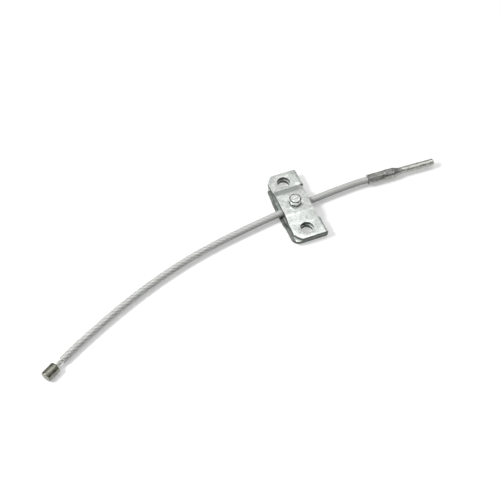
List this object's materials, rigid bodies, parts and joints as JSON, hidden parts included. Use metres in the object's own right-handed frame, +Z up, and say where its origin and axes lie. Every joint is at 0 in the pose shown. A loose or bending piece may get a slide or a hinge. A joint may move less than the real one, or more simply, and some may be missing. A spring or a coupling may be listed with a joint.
{
  "type": "parking brake cable",
  "caption": "Coated wire rope with a plain button on one end, a threaded terminal on the other and a folded clamp bracket between them.",
  "frame": {"origin": "under the middle of the clamp bracket, on the surface that the part lies on", "axes": "+Z up; +Y along the bracket from bolt hole to bolt hole; +X across the bracket towards the threaded end of the cable"},
  "size_m": [0.3664, 0.1197, 0.0175],
  "materials": {
    "rope_steel": "galvanised wire strands",
    "clear_nylon": "clear, whitish, smooth",
    "button_steel": "olive grey passivated steel",
    "terminal_steel": "grey plated steel, crimped",
    "zinc_plate": "bright zinc, slightly mottled",
    "screw_zinc": "bright zinc"
  },
  "bodies": {
    "root": {"wire_rope": "rope_steel", "nylon_jacket": "clear_nylon", "end_button": "button_steel", "threaded_terminal": "terminal_steel", "clamp_bracket": "zinc_plate", "clamp_screw": "screw_zinc"}
  },
  "joints": []
}
